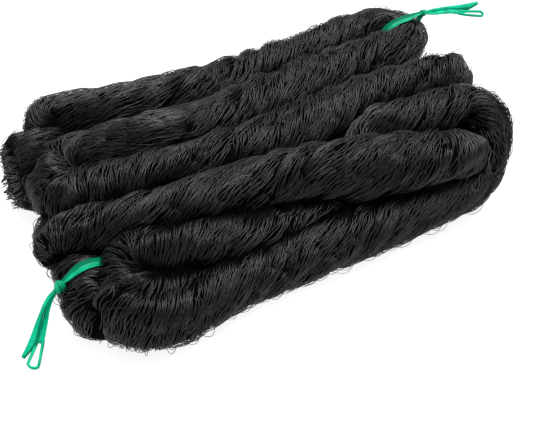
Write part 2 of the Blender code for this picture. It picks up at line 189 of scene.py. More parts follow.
# The middle of the rope from its cut end to its other, hidden end. Columns: x, y, z, radius of the rope,
# and lean, the angle in degrees between its strands and its own line.
ROUTE = [
    # cut end, lower back run
    (-252, 105, 39, 31, 8),
    (-248, 105, 39, 38, 8),
    (-230, 104, 40, 41, 8),
    (-205, 106, 40, 38, 8),
    (-178, 115, 31, 32, 10),
    (-152, 126, 26, 28, 25),
    (-42, 130, 26, 28, 35),
    (68, 132, 26, 28, 40),
    (153, 132, 26, 27, 40),
    # lower right bend and second lower run
    (190, 112, 26, 26, 60),
    (153, 84, 26, 27, 45),
    (58, 78, 26, 28, 35),
    (-82, 78, 26, 28, 35),
    (-165, 82, 27, 27, 40),
    # rise to the back run
    (-202, 114, 46, 22, 70),
    (-199, 134, 72, 22, 55),
    (-176, 128, 71, 25, 25),
    (-149, 119, 73, 27, 12),
    (-107, 110, 73, 29, 10),
    (-71, 107, 72, 29, 22),
    (-38, 105, 72, 30, 32),
    (10, 111, 72, 28, 38),
    (62, 119, 72, 27, 42),
    (118, 127, 73, 26, 42),
    (162, 132, 74, 26, 38),
    (198, 125, 75, 26, 25),
    # bend with the right tie
    (213, 101, 75, 25, 10),
    # second run
    (170, 79, 74, 26, 32),
    (116, 74, 73, 28, 42),
    (72, 68, 73, 29, 42),
    (30, 60, 73, 29, 40),
    (-23, 49, 72, 30, 34),
    (-74, 41, 72, 31, 22),
    (-107, 41, 72, 31, 10),
    (-138, 52, 70, 29, 4),
    (-172, 65, 66, 25, 0),
    # upper left bend
    (-207, 69, 62, 23, 60),
    (-223, 57, 60, 23, 88),
    (-229, 38, 58, 24, 88),
    (-221, 15, 59, 26, 85),
    # third run
    (-200, 4, 65, 27, 72),
    (-157, -2, 69, 27, 55),
    (-128, -7, 70, 27, 48),
    (-99, -12, 71, 28, 42),
    (-57, -14, 71, 29, 40),
    (-10, -10, 72, 29, 40),
    (43, 1, 72, 29, 42),
    (95, 8, 73, 28, 46),
    (150, 9, 73, 27, 50),
    (206, 12, 72, 26, 64),
    # dive and third lower run
    (220, 20, 52, 24, 85),
    (204, 32, 30, 25, 60),
    (150, 36, 26, 27, 45),
    (58, 34, 26, 28, 35),
    (-72, 28, 26, 28, 35),
    (-172, 28, 26, 27, 35),
    # lower left bend and fourth lower run
    (-216, 26, 28, 25, 60),
    (-238, 8, 29, 25, 85),
    (-216, -14, 28, 25, 60),
    (-172, -26, 26, 26, 35),
    (-102, -26, 26, 27, 35),
    (38, -20, 26, 27, 35),
    (128, -32, 26, 26, 35),
    (158, -60, 30, 25, 60),
    # fourth run, tucked into the big loop
    (163, -91, 44, 22, 85),
    (135, -107, 66, 25, 80),
    (92, -105, 72, 27, 55),
    (32, -88, 71, 30, 43),
    (-4, -76, 71, 29, 40),
    (-42, -68, 70, 28, 38),
    (-83, -63, 68, 27, 36),
    (-124, -61, 67, 26, 38),
    (-152, -57, 66, 25, 42),
    (-181, -53, 65, 24, 46),
    (-224, -43, 63, 22, 55),
    (-250, -34, 58, 18, 70),
    # bend with the left tie
    (-260, -33, 48, 16, 80),
    (-247, -39, 34, 17, 80),
    (-246, -58, 29, 25, 82),
    (-242, -80, 30, 28, 82),
    (-246, -101, 28, 28, 82),
    (-244, -112, 27, 24, 80),
    (-208, -114, 26, 25, 40),
    # lower run that climbs into the big loop
    (-152, -82, 26, 26, 35),
    (-42, -76, 26, 27, 35),
    (18, -60, 36, 26, 30),
    (81, -38, 62, 24, 25),
    (110, -44, 72, 25, 42),
    (159, -45, 73, 25, 46),
    (187, -50, 72, 24, 46),
    (198, -70, 66, 23, 40),
    (183, -96, 46, 22, 34),
    (150, -110, 30, 24, 30),
    # front run on the floor
    (104, -118, 27, 24, 30),
    (58, -121, 26, 24, 34),
    (13, -122, 25, 25, 38),
    (-36, -124, 25, 25, 42),
    (-75, -124, 25, 25, 42),
    (-119, -127, 26, 27, 44),
    (-161, -134, 27, 28, 52),
    (-197, -138, 29, 30, 68),
    # front bend and short front run
    (-218, -132, 34, 33, 84),
    (-222, -112, 37, 36, 88),
    (-220, -102, 46, 24, 88),
    (-208, -88, 57, 23, 86),
    (-177, -97, 57, 23, 74),
    (-144, -104, 57, 23, 56),
    (-108, -107, 54, 21, 44),
    (-78, -103, 49, 19, 38),
    (-39, -98, 44, 18, 36),
    (0, -96, 38, 18, 36),
    (45, -92, 28, 20, 35),
    (90, -80, 26, 22, 35),
    (133, -76, 26, 22, 35),
]

# Straight inner runs that lie hidden between the folds. Columns: lowest x, highest x, y, z, radius.
INNER_RUNS = [
    (-185, 160, 97, 49, 21),
    (-185, 165, 52, 49, 21),
    (-185, 150, 8, 49, 21),
    (-185, 110, -40, 48, 20),
]

Tie = namedtuple("Tie", "name node centre radii knot knot_scale flat_end bow loop_width")

# Each ribbon is a band round a fold, in a plane along X and Z, with its ends led out of a knot. Columns:
# name, node, middle of the band, its half width and half height, the knot and its scale, the flat end's
# points, the bow's points and how wide its loop opens.
TIES = [
    Tie("ribbon_left", "tie_left", (-241, -79, 31), (26.5, 25.5), (-270, -79, 44), 1.15,
        [(-283, -84, 38), (-294, -89, 24), (-306, -100, 11), (-317, -108, 3)],
        [(-281, -84, 36), (-290, -91, 22), (-301, -103, 10), (-314, -119, 3)], 9.0),
    Tie("ribbon_right", "tie_right", (211, 101, 73), (29, 24), (241, 104, 98), 0.85,
        [(258, 107, 96), (281, 107, 93), (303, 107, 89), (325, 109, 86)],
        [(256, 104, 94), (279, 103, 91), (296, 98, 87), (317, 93, 83)], 6.0),
]
BAND_WIDTH = 12.0          # ribbon where it goes round a fold
BAND_THICK = 1.8           # as in the CAD; the film's middle lies half of this over the fold
BAND_PROUD = 0.2           # how far the band stands out from the strands under it
BAND_SINK = 3.5            # how far its hidden half is pulled into the netting
BAND_DROP = 0.18           # angle in which its hidden half goes from the knot down to the netting
BAND_BEHIND = 36           # how far that half runs behind the shown one, for a knot out on its own
BAND_STEPS = 48            # sections of a band
BAND_FILM = 0.8            # thickness of the ribbon's film in a band and a knot
BAND_GATHER = 0.4          # share of the band's width that is left at the knot
GATHER_FROM = 3            # distance from the knot at which it starts to widen,
GATHER_REACH = 20          # and in which it gets to its whole width
UNDER_SLOPE = 3            # how fast the shown half sinks in where it goes under the fold
BEHIND_FADE = 2            # angle in which the hidden half comes back to the band's own plane
PRESS_BODY = 0.9           # how far the body lies under a band, and how far the strands do
PRESS_STRANDS = 0.5
PRESS_REACH = (0.75, 1.4)  # share of the band's radii between which the net is pressed
PRESS_SIDE = 0.5           # how far beside the band it is pressed in full,
PRESS_FADE = 5.0           # and in which distance that fades
PRESS_TURN = 3             # how fast it fades round the fold, downwards and on the hidden side
PRESS_LEVEL = 1.5          # its strength at the fold's middle height, before it is cut to 1,
PRESS_SHOWN = 0.6          # and its strength in line with the knot
KNOT_CORE = (5.4, 3.4, 3.2)  # half sizes of the lump in a knot
KNOT_STEPS = 20            # sections of a turn of ribbon round a knot
RIBBON_STEP = 4.0          # distance between two sections of a free end
WRINKLE = 0.25             # how much the height of a ribbon's creases changes, as a share
WRINKLE_TURN = 0.9         # radians of that change in a step
END_LEAN = (0, 1, 0.6)     # way in which the width of a free end runs

# Widths of the flat end and of the bow's ribbon. Columns: share of the length, width.
END_WIDTHS = [(0, 3.5), (0.5, 5.6), (0.78, 8.4), (1, 3.6)]
BOW_WIDTHS = [(0, 3.0), (0.5, 5.6), (0.72, 6.6), (0.8, 5.4)]
CUT_START = 0.78           # share of the flat end's length where its slanting cut begins
LOOP_START = 0.64          # share of the bow's length where the loop springs from the ribbon
RIBBON_END = 0.77          # share of the bow's length where the ribbon ends between the loop's sides
LOOP_OPEN = 0.95           # share of the bow's length where the loop is at its widest
LOOP_SECTION = (2.4, 2.0)  # gathered ribbon of the loop: across its plane and in it
LOOP_NECK = 1.7            # half of the space between the loop's two sides where it springs
LOOP_TIP = [(1.1, 0.55), (1.7, 0.0), (1.1, -0.55)]  # points of its tip: mm ahead, share of its width
END_FILM = 0.6             # thickness of the film in a free end

# Creased sections of the ribbon, top side. Columns: place as a share of the width, height.
BAND_FOLDS = [(-0.5, -0.5), (-0.36, 0.3), (-0.1, 0.5), (0.05, 0.1), (0.12, -0.3), (0.3, 0.4), (0.5, -0.5)]
END_FOLDS = [(-0.5, -0.7), (-0.3, -0.5), (-0.14, -0.3), (-0.06, 0.4), (0.2, 0.5), (0.36, 0.3), (0.5, 0.0)]
BOW_FOLDS = [(-0.5, -0.2), (-0.25, 0.3), (0.0, 0.35), (0.25, 0.2), (0.5, -0.2)]
KNOT_FOLDS = [(-0.5, -0.6), (-0.3, 0.1), (0.0, 0.3), (0.3, 0.1), (0.5, -0.6)]
# Strips of each section that lie in a crease and get painted shade, counted from its first place.
BAND_CREASES = (3, 4, 5)
END_CREASES = (0, 1)
# Turns of ribbon round a knot. Columns: tilt about X and Z in degrees, radius, width, shift outwards.
KNOT_TURNS = [(8, 12, 3.9, 4.4, -1.2), (35, -25, 3.7, 3.4, 1.8)]


# ------------ curves
def path_through(rows, step):
    """Points about a step apart on a smooth curve through the rows; every column is carried along."""
    rows = np.array(rows, dtype=float)
    rows = np.vstack([2 * rows[0] - rows[1], rows, 2 * rows[-1] - rows[-2]])
    chords = np.linalg.norm(np.diff(rows[:, :3], axis=0), axis=1)
    gaps = np.sqrt(chords)
    points = []
    for index in range(1, len(rows) - 2):
        before, here, after, beyond = rows[index - 1:index + 3]
        t1 = gaps[index - 1]
        t2 = t1 + gaps[index]
        t3 = t2 + gaps[index + 1]
        count = max(3, round(chords[index] / step))
        for t in np.linspace(t1, t2, count, endpoint=False):
            first = before + (here - before) * t / t1
            middle = here + (after - here) * (t - t1) / (t2 - t1)
            last = after + (beyond - after) * (t - t2) / (t3 - t2)
            early = first + (middle - first) * t / t2
            late = middle + (last - middle) * (t - t1) / (t3 - t1)
            points.append(early + (late - early) * (t - t1) / (t2 - t1))
    points.append(rows[-2])
    return np.array(points)


def distance_along(points):
    """Length of the path from its start to each of its points."""
    steps = np.linalg.norm(np.diff(points[:, :3], axis=0), axis=1)
    return np.concatenate([[0.0], np.cumsum(steps)])


def carried_frames(points):
    """Two side directions at each point, turned no more than the path itself turns."""
    tangents = np.gradient(points[:, :3], axis=0)
    side = Vector((0, 0, 1))
    sides = []
    for tangent in (Vector(row).normalized() for row in tangents):
        side = (side - tangent * side.dot(tangent)).normalized()
        sides.append((side, tangent.cross(side)))
    return np.array([[tuple(a), tuple(b)] for a, b in sides])


# ------------ the rope
def waves(table, along, angle):
    """Sum of the waves of a table, at distances along the rope and angles round it."""
    return sum(height * np.sin(along / length + turns * angle + start)
               for height, length, turns, start in table)


class Rope:
    """The rope's surface, as points at a distance along its line and an angle round it."""

    def __init__(self):
        self.path = path_through(ROUTE, STEP)
        self.along = distance_along(self.path)
        self.frames = carried_frames(self.path)
        self.length = self.along[-1]

    def column(self, number, along):
        """One column of the route's table, at distances along the rope."""
        return np.interp(along, self.along, self.path[:, number])

    def points(self, along, angle):
        """Points of the surface; its lobes wind round it and it swells slowly."""
        turn = angle + 2 * math.pi * along / TWIST_PITCH + waves(WANDER, along, angle)
        lobes = np.abs(np.sin(LOBES * turn / 2)) ** LOBE_ROUND - LOBE_BASE
        depth = LOBE_DEPTH * (1 + waves(DEEPENING, along, angle))
        swell = LUMP * waves(SWELL, along, angle) / sum(height for height, *_ in SWELL)
        radius = self.column(3, along) * (1 + swell) + depth * lobes - STRAND_ROOM
        middle = np.stack([self.column(axis, along) for axis in range(3)], axis=-1)
        sides = np.stack([
            np.stack([np.interp(along, self.along, self.frames[:, side, axis]) for axis in range(3)],
                     axis=-1)
            for side in range(2)])
        sides /= np.linalg.norm(sides, axis=-1, keepdims=True)
        out = np.cos(angle)[..., None] * sides[0] + np.sin(angle)[..., None] * sides[1]
        return middle + radius[..., None] * out

    def stretch(self, along, angle):
        """Length on the surface for each length of the rope's line: over 1 on the outside of a bend."""
        there = self.points(along + STEP / 2, angle)
        here = self.points(along - STEP / 2, angle)
        return np.clip(np.linalg.norm(there - here, axis=-1) / STEP, *STRETCH_LIMITS)


# ------------ meshes
def add_loft(mesh_data, rings, closed=False):
    """Skin over rings of points: a tube with two flat ends, or a closed ring."""
    verts = [[mesh_data.verts.new(point) for point in ring] for ring in rings]
    sides = len(verts[0])
    spans = list(zip(verts, verts[1:]))
    if closed:
        spans.append((verts[-1], verts[0]))
    for here, there in spans:
        for a in range(sides):
            b = (a + 1) % sides
            mesh_data.faces.new((here[a], here[b], there[b], there[a]))
    if not closed:
        mesh_data.faces.new(verts[0])
        mesh_data.faces.new(verts[-1])


def object_from(name, mesh_data):
    """New object with a bmesh's faces, in metres."""
    bmesh.ops.recalc_face_normals(mesh_data, faces=mesh_data.faces)
    bmesh.ops.scale(mesh_data, vec=(MM, MM, MM), verts=mesh_data.verts)
    mesh = bpy.data.meshes.new(name)
    mesh_data.to_mesh(mesh)
    mesh_data.free()
    thing = bpy.data.objects.new(name, mesh)
    bpy.context.scene.collection.objects.link(thing)
    return thing


def shade_smooth(thing):
    """Smooth shading on every face."""
    thing.data.polygons.foreach_set("use_smooth", [True] * len(thing.data.polygons))


def apply_modifiers(thing):
    """The object keeps the mesh that its modifiers make."""
    bpy.context.view_layer.update()
    shown = thing.evaluated_get(bpy.context.evaluated_depsgraph_get())
    made = bpy.data.meshes.new_from_object(shown)
    thing.modifiers.clear()
    thing.data = made


def mesh_points(thing):
    """The mesh's points and their normals, in mm."""
    count = len(thing.data.vertices)
    points = np.empty(count * 3)
    normals = np.empty(count * 3)
    thing.data.vertices.foreach_get("co", points)
    thing.data.vertices.foreach_get("normal", normals)
    return points.reshape(-1, 3) / MM, normals.reshape(-1, 3)


def pressed_under_bands(points, normals, gap):
    """The points with those at a ribbon's band moved to lie just under it."""
    points = points.copy()
    for tie in TIES:
        away = points - np.array(tie.centre)
        flat = np.stack([away[:, 0] / tie.radii[0], away[:, 2] / tie.radii[1]], axis=-1)
        share = np.linalg.norm(flat, axis=-1)
        outward = (normals[:, 0] * away[:, 0] + normals[:, 2] * away[:, 2]) > 0
        under = 1 - gap / tie.radii[0]
        near = outward & (share > PRESS_REACH[0]) & (share < PRESS_REACH[1])
        above = np.clip(PRESS_TURN * flat[:, 1] / np.maximum(share, 1e-6) + PRESS_LEVEL, 0, 1)
        to_knot = (np.array(tie.knot) - np.array(tie.centre))[[0, 2]] / tie.radii
        turned = math.copysign(1, to_knot[0]) * (to_knot[0] * flat[:, 1] - to_knot[1] * flat[:, 0])
        above *= np.clip(PRESS_TURN * turned + PRESS_SHOWN, 0, 1)
        beside = np.maximum(np.abs(away[:, 1]) - BAND_WIDTH / 2 - PRESS_SIDE, 0)
        pull = np.exp(-(beside / PRESS_FADE) ** 2)
        wanted = share - (share - under) * pull * above
        change = np.where(near, wanted / np.maximum(share, 1e-6), 1.0)
        points[:, 0] = tie.centre[0] + away[:, 0] * change
        points[:, 2] = tie.centre[2] + away[:, 2] * change
    return points


def make_body(rope):
    """The rope on its whole route, its touching folds grown together, its underside pressed flat."""
    along = rope.along[:, None] + np.zeros((1, SIDES))
    angle = np.linspace(0, 2 * math.pi, SIDES, endpoint=False)[None, :] + np.zeros((len(rope.along), 1))
    mesh_data = bmesh.new()
    add_loft(mesh_data, rope.points(along, angle))
    for low_x, high_x, y, z, radius in INNER_RUNS:
        place = Matrix.Translation(((low_x + high_x) / 2, y, z)) @ Matrix.Rotation(math.pi / 2, 4, "Y")
        bmesh.ops.create_cone(mesh_data, cap_ends=True, segments=SIDES, radius1=radius, radius2=radius,
                              depth=high_x - low_x, matrix=place)
    body = object_from("net_body", mesh_data)

    fuse = body.modifiers.new("fuse folds", "REMESH")
    fuse.mode = "VOXEL"
    fuse.voxel_size = FUSE_CELL * MM
    even = body.modifiers.new("even out", "SMOOTH")
    even.factor = EVEN_SHARE
    even.iterations = EVEN_ROUNDS
    apply_modifiers(body)

    points, normals = mesh_points(body)
    points = pressed_under_bands(points, normals, PRESS_BODY)
    points[:, 2] = np.maximum(points[:, 2], FLOOR_GAP)
    body.data.vertices.foreach_set("co", (points * MM).ravel())
    body.data.update()
    shade_smooth(body)
    return body


# ------------ strands
def surface_of(body):
    """Search tree of the body, in mm."""
    points, _ = mesh_points(body)
    faces = [tuple(face.vertices) for face in body.data.polygons]
    return BVHTree.FromPolygons([tuple(point) for point in points], faces)


def on_surface(tree, points):
    """For each point the nearest one of the body, the normal there, and the height above it."""
    flat = points.reshape(-1, 3)
    near = np.empty_like(flat)
    normals = np.empty_like(flat)
    for index, point in enumerate(flat):
        place, normal, _, _ = tree.find_nearest(point)
        near[index] = place
        normals[index] = normal
    height = np.sum((flat - near) * normals, axis=-1)
    return near.reshape(points.shape), normals.reshape(points.shape), height.reshape(points.shape[:-1])


def shown_places(rope, tree, chance):
    """Places on the rope's surface that show: distances along it, angles round it, and points."""
    along = chance.uniform(SEED_MARGIN, rope.length - SEED_MARGIN, SEED_TRIES)
    angle = chance.uniform(0, 2 * math.pi, SEED_TRIES)
    points = rope.points(along, angle)
    _, _, height = on_surface(tree, points)
    shown = (np.abs(height) < SEED_DEPTH) & (points[:, 2] > SEED_HEIGHT)
    return along[shown], angle[shown], points[shown]


def nearest_strand(points, runs):
    """Distance from each point to the nearest point of a strand."""
    laid = np.vstack([run[0] for run in runs])
    search = KDTree(len(laid))
    for index, point in enumerate(laid):
        search.insert(point, index)
    search.balance()
    return np.array([search.find(point)[2] for point in points])


def spread_out(points, gap, cover, count, least):
    """Rows chosen one after another, each the furthest from all that is there, down to a least gap."""
    chosen = []
    while len(chosen) < count and gap.max() > least:
        furthest = int(np.argmax(gap))
        chosen.append(furthest)
        gap = np.minimum(gap, np.linalg.norm(points - points[furthest], axis=1) * cover)
    return chosen


def lock_lines(rope, chance, along, angle, reach):
    """Middle lines of the locks: distances, angles and leans at each of their steps."""
    count = len(along)
    turn = chance.normal(0, LOCK_TURN, count)
    bow = chance.normal(0, LOCK_BOW, count)
    wave = chance.normal(0, LOCK_WAVE, count)
    phase = chance.uniform(0, 2 * math.pi, count)
    sides = []
    for way in (-1, 1):
        here, round_it = along.copy(), angle.copy()
        line = []
        for step in range(reach + 1):
            share = way * step / reach
            lean = (rope.column(4, here) + turn + bow * share
                    + wave * np.sin(LOCK_WAVE_TURN * share + phase))
            line.append((here.copy(), round_it.copy(), lean))
            lean = np.radians(lean)
            stretch = rope.stretch(here, round_it)
            here = here + way * STRAND_STEP * np.cos(lean) / stretch
            round_it = round_it - way * STRAND_STEP * np.sin(lean) / rope.column(3, here)
        sides.append(line)
    whole = sides[0][:0:-1] + sides[1]
    return [np.stack([row[part] for row in whole], axis=1) for part in range(3)]


def covered(points, own, ranks, middles, reach):
    """Whether each point lies under a lock of a higher rank than its own."""
    search = KDTree(middles.shape[0] * middles.shape[1])
    steps = middles.shape[1]
    for index, point in enumerate(middles.reshape(-1, 3)):
        search.insert(point, index)
    search.balance()
    hidden = np.zeros(len(points), dtype=bool)
    for row, point in enumerate(points):
        for _, index, distance in search.find_n(point, NEIGHBOURS):
            lock = index // steps
            if ranks[lock] > ranks[own[row]] and distance < reach[lock, index % steps]:
                hidden[row] = True
                break
    return hidden


def lock_strands(rope, tree, chance, along, angle, kind):
    """Points, normals and heights of every strand of the locks, one row for each strand."""
    line, round_it, lean = lock_lines(rope, chance, along, angle, kind.steps)
    count, steps = line.shape
    many = kind.strands
    share = np.linspace(-1, 1, steps)[None, None, :]
    width = chance.uniform(*kind.width, count)[:, None]
    place = np.linspace(-0.5, 0.5, many)[None, :] + chance.normal(0, SCATTER / many, (count, many))
    across = (width * place)[..., None] * (1 - LOCK_TAPER * share ** 2)
    own = chance.uniform(0, 2 * math.pi, (count, many, 1))
    pace = chance.uniform(*PACE, (count, many, 1))
    travel = np.arange(steps)[None, None, :] * STRAND_STEP
    for high, length, start in SWAY:
        across = across + high * np.sin(travel * pace / length + start * own)

    slant = np.radians(lean)[:, None, :]
    radius = rope.column(3, line)[:, None, :]
    strand_along = line[:, None, :] + across * np.sin(slant) / rope.stretch(line, round_it)[:, None, :]
    strand_angle = round_it[:, None, :] + across * np.cos(slant) / radius
    points = rope.points(strand_along, strand_angle)
    near, normals, height = on_surface(tree, points)
    inside = ((strand_along > ROPE_MARGIN) & (strand_along < rope.length - ROPE_MARGIN)
              & (height > -BURIED))

    ranks = chance.permutation(count) / count
    lift = (kind.lift[0] + (kind.lift[1] - kind.lift[0]) * ranks)[:, None, None]
    if not kind.closed:
        middles = rope.points(line, round_it)
        reach = LOCK_COVER * width * (1 - LOCK_TAPER * np.linspace(-1, 1, steps) ** 2)[None, :]
        reach[:, :COVER_ENDS] = 0
        reach[:, -COVER_ENDS:] = 0
        owners = np.repeat(np.arange(count), many * steps)
        inside &= ~covered(points.reshape(-1, 3), owners, ranks, middles, reach).reshape(inside.shape)
    crown = lift * (1 - CROWN_FALL * (2 * place[..., None]) ** 2)
    crown = crown + chance.normal(0, CROWN_SCATTER, (count, many, 1))
    high, length, start = BOB
    crown = crown + high * np.sin(travel * pace / length + start * own)
    shape = (count * many, steps)
    return (near.reshape(*shape, 3), normals.reshape(*shape, 3),
            np.broadcast_to(crown, (count, many, steps)).reshape(shape), inside.reshape(shape))


def shown_runs(inside):
    """First and last step of each stretch that shows."""
    edges = np.flatnonzero(np.diff(np.concatenate([[0], inside.astype(int), [0]])))
    return [(first, last - 1) for first, last in edges.reshape(-1, 2) if last - first >= SHORTEST_RUN]


def strand_runs(near, normals, crown, inside, rise_steps):
    """Lines of the strands that show, with their ends led down into the body."""
    runs = []
    for row in range(len(near)):
        for first, last in shown_runs(inside[row]):
            part = slice(first, last + 1)
            count = last - first + 1
            from_end = np.minimum(np.arange(count), np.arange(count)[::-1])
            rise = np.clip(from_end / rise_steps, 0, 1)
            height = (crown[row, part] + STRAND_HEIGHT) * rise - ROOT_DEPTH * (1 - rise)
            points = near[row, part] + normals[row, part] * height[:, None]
            points[1:-1] = (points[:-2] + 2 * points[1:-1] + points[2:]) / 4
            runs.append((points, normals[row, part]))
    return runs


def make_tubes(name, runs, radius, closed):
    """Mesh of thin three-sided strands along lines; their undersides are left off unless closed."""
    points = np.vstack([run[0] for run in runs])
    normals = np.vstack([run[1] for run in runs])
    counts = np.array([len(run[0]) for run in runs])
    starts = np.concatenate([[0], np.cumsum(counts)[:-1]])
    ahead = np.vstack([np.gradient(run[0], axis=0) for run in runs])
    ahead /= np.maximum(np.linalg.norm(ahead, axis=1, keepdims=True), 1e-9)
    up = normals - ahead * np.sum(normals * ahead, axis=1, keepdims=True)
    up /= np.maximum(np.linalg.norm(up, axis=1, keepdims=True), 1e-9)
    side = np.cross(ahead, up)
    corners = []
    for angle in np.radians([210, 90, 330]):
        corners.append(points + radius * (math.sin(angle) * up + math.cos(angle) * side))
    verts = np.stack(corners, axis=1).reshape(-1, 3)
    verts[:, 2] = np.maximum(verts[:, 2], STRAND_FLOOR)

    last = np.zeros(len(points), dtype=bool)
    last[starts + counts - 1] = True
    first = np.flatnonzero(~last)
    faces = []
    for a in range(3 if closed else 2):
        b = (a + 1) % 3
        quads = np.stack([3 * first + a, 3 * first + 3 + a, 3 * first + 3 + b, 3 * first + b], axis=1)
        faces.extend(quads.tolist())
    if closed:
        faces.extend((3 * starts[:, None] + np.array([[0, 1, 2]])).tolist())
        faces.extend((3 * (starts + counts - 1)[:, None] + np.array([[2, 1, 0]])).tolist())

    mesh = bpy.data.meshes.new(name)
    mesh.from_pydata((verts * MM).tolist(), [], faces)
    mesh.update()
    thing = bpy.data.objects.new(name, mesh)
    bpy.context.scene.collection.objects.link(thing)
    shade_smooth(thing)
    return thing


def end_runs(rope, tree, chance):
    """Strands that cross the rope's cut end and go on along its side; some stick out as spikes."""
    start = np.array([rope.column(0, 0.0) - END_ROOM, rope.column(1, 0.0), rope.column(2, 0.0)])
    high, along, beside = END_WAVE
    runs = []
    for offset in np.arange(-END_RADIUS, END_RADIUS, END_PITCH):
        slope = math.radians(END_SLOPE + chance.normal(0, END_TURN))
        across = np.array([0.0, -math.cos(slope), math.sin(slope)])
        aside = np.array([0.0, math.sin(slope), math.cos(slope)])
        half = math.sqrt(max(END_RADIUS ** 2 - offset ** 2, END_SHORTEST ** 2))
        sticks_out = offset < SPIKES_BELOW and chance.random() < SPIKE_SHARE
        spike = chance.uniform(SPIKE_SHORT, SPIKE_LENGTH) if sticks_out else 0.0
        ways = END_POINTS + [(1.0, chance.uniform(*END_REACH))]
        guide = [start + aside * (offset + chance.normal(0, END_SCATTER)) + across * half * share
                 + (inwards, 0, 0) for share, inwards in ways]
        guide[0] -= across * SPIKE_AHEAD * spike
        line = path_through(guide, STRAND_STEP)
        near, normals, _ = on_surface(tree, line)
        wave = high * np.sin(np.arange(len(line)) * along + offset * beside)
        height = chance.uniform(*END_RISE) + wave
        line = near + normals * height[:, None]
        line[-1] -= normals[-1] * END_DIVE
        if spike:
            line[0] += SPIKE_WAY * spike
        line[1:-1] = (line[:-2] + 2 * line[1:-1] + line[2:]) / 4
        line[:, 2] = np.maximum(line[:, 2], END_FLOOR)
        runs.append((line, normals))
        if spike:
            for _ in range(TUFT - 1):
                other = line[:TUFT_POINTS] + chance.normal(0, TUFT_SPREAD, 3)
                other[:, 2] = np.maximum(other[:, 2], END_FLOOR)
                runs.append((other, normals[:TUFT_POINTS]))
    return runs


def make_strands(rope, tree):
    """Meshes of the strands that lie on the folds."""
    chance = np.random.default_rng(SEED)
    along, angle, points = shown_places(rope, tree, chance)
    things = []
    laid = []
    for kind in LOCKS:
        filling = kind.name == "net_filling"
        gap = nearest_strand(points, laid) if filling else np.full(len(points), np.inf)
        least, cover = (BARE, BARE / FILLED) if filling else (0, 1)
        if kind.name == "net_fringe":
            gap[(np.abs(points[:, 0]) < RIM_X) & (points[:, 2] > RIM_Z)] = 0
        chosen = spread_out(points, gap, cover, kind.count, least)
        for part in range(kind.parts):
            rows = chosen[part::kind.parts]
            strands = lock_strands(rope, tree, chance, along[rows], angle[rows], kind)
            runs = strand_runs(*strands, kind.rise)
            laid += runs
            runs = [(pressed_under_bands(line, up, PRESS_STRANDS), up) for line, up in runs]
            things.append(make_tubes(f"{kind.name}_{part + 1}", runs, kind.radius, kind.closed))
    things.append(make_tubes("net_end", end_runs(rope, tree, chance), END_STRAND, True))
    return things


# ------------ the ribbons
def film_rings(points, across, widths, lifts, thickness):
    """Sections of a creased ribbon along a path; across is the way its width runs."""
    tangents = np.gradient(points, axis=0)
    rings = []
    for number, (point, tangent, width) in enumerate(zip(points, tangents, widths)):
        ahead = Vector(tangent).normalized()
        wide = Vector(across)
        wide = (wide - ahead * wide.dot(ahead)).normalized()
        thick = ahead.cross(wide).normalized()
        swing = 1 + WRINKLE * math.sin(number * WRINKLE_TURN)
        top = [Vector(point) + wide * share * width + thick * (lift * swing + thickness / 2)
               for share, lift in lifts]
        bottom = [corner - thick * thickness for corner in reversed(top)]
        rings.append(top + bottom)
    return rings


def paint_crease_shade(thing, places, creases):
    """Second material, painted shade in a darker green, on the strips of a loft's faces that lie in a
    crease, on both of its sides.
    """
    shaded_strips = set(creases) | {2 * places - 2 - strip for strip in creases}
    count = len(thing.data.polygons)
    for face in thing.data.polygons:
        if face.index % (2 * places) in shaded_strips and face.index < count - 2:
            face.material_index = 1


def band_point(tie, angle, grown):
    """Place of the band at an angle; its shown half runs straight from the knot to the fold."""
    to_knot = Vector(tie.knot) - Vector(tie.centre)
    away = Vector((to_knot.x / tie.radii[0], to_knot.z / tie.radii[1]))
    off = (angle - math.atan2(away.y, away.x) + math.pi) % (2 * math.pi) - math.pi
    off = math.copysign(1, to_knot.x) * off
    leave = math.acos(1 / away.length)
    out = Vector((math.cos(angle), 0, math.sin(angle)))
    if off > 0:
        share = 1 / math.cos(max(leave - off, 0))
        sunk = min(max(-UNDER_SLOPE * out.z, 0), 1)
        beside = max(1 - off / leave, 0)
        behind = 0
    else:
        sunk = min(-off / BAND_DROP, 1)
        share = away.length - (away.length - 1) * sunk
        beside = 1 - sunk
        behind = BAND_BEHIND * (away.length - 1) ** 2 * sunk * max(1 + off / BEHIND_FADE, 0)
    place = Vector((tie.radii[0] * out.x * share, to_knot.y * beside + behind,
                    tie.radii[1] * out.z * share))
    return Vector(tie.centre) + place + out * (grown - BAND_SINK * sunk)


def ring_angles(steps):
    """Angles round a closed ribbon, with one more before its first and one after its last."""
    return np.linspace(-1, steps + 1, steps + 3)[:-1] * 2 * math.pi / steps


def add_band(mesh_data, tie):
    """Ribbon round the fold, gathered where it comes up to the knot."""
    grown = BAND_THICK / 2 + BAND_PROUD
    points = np.array([band_point(tie, angle, grown) for angle in ring_angles(BAND_STEPS)])
    away = np.linalg.norm(points - np.array(tie.knot), axis=1)
    opened = np.clip((away - GATHER_FROM) / GATHER_REACH, 0, 1)
    widths = BAND_WIDTH * (BAND_GATHER + (1 - BAND_GATHER) * opened)
    rings = film_rings(points, (0, 1, 0), widths, BAND_FOLDS, BAND_FILM)
    add_loft(mesh_data, rings[1:-1], closed=True)


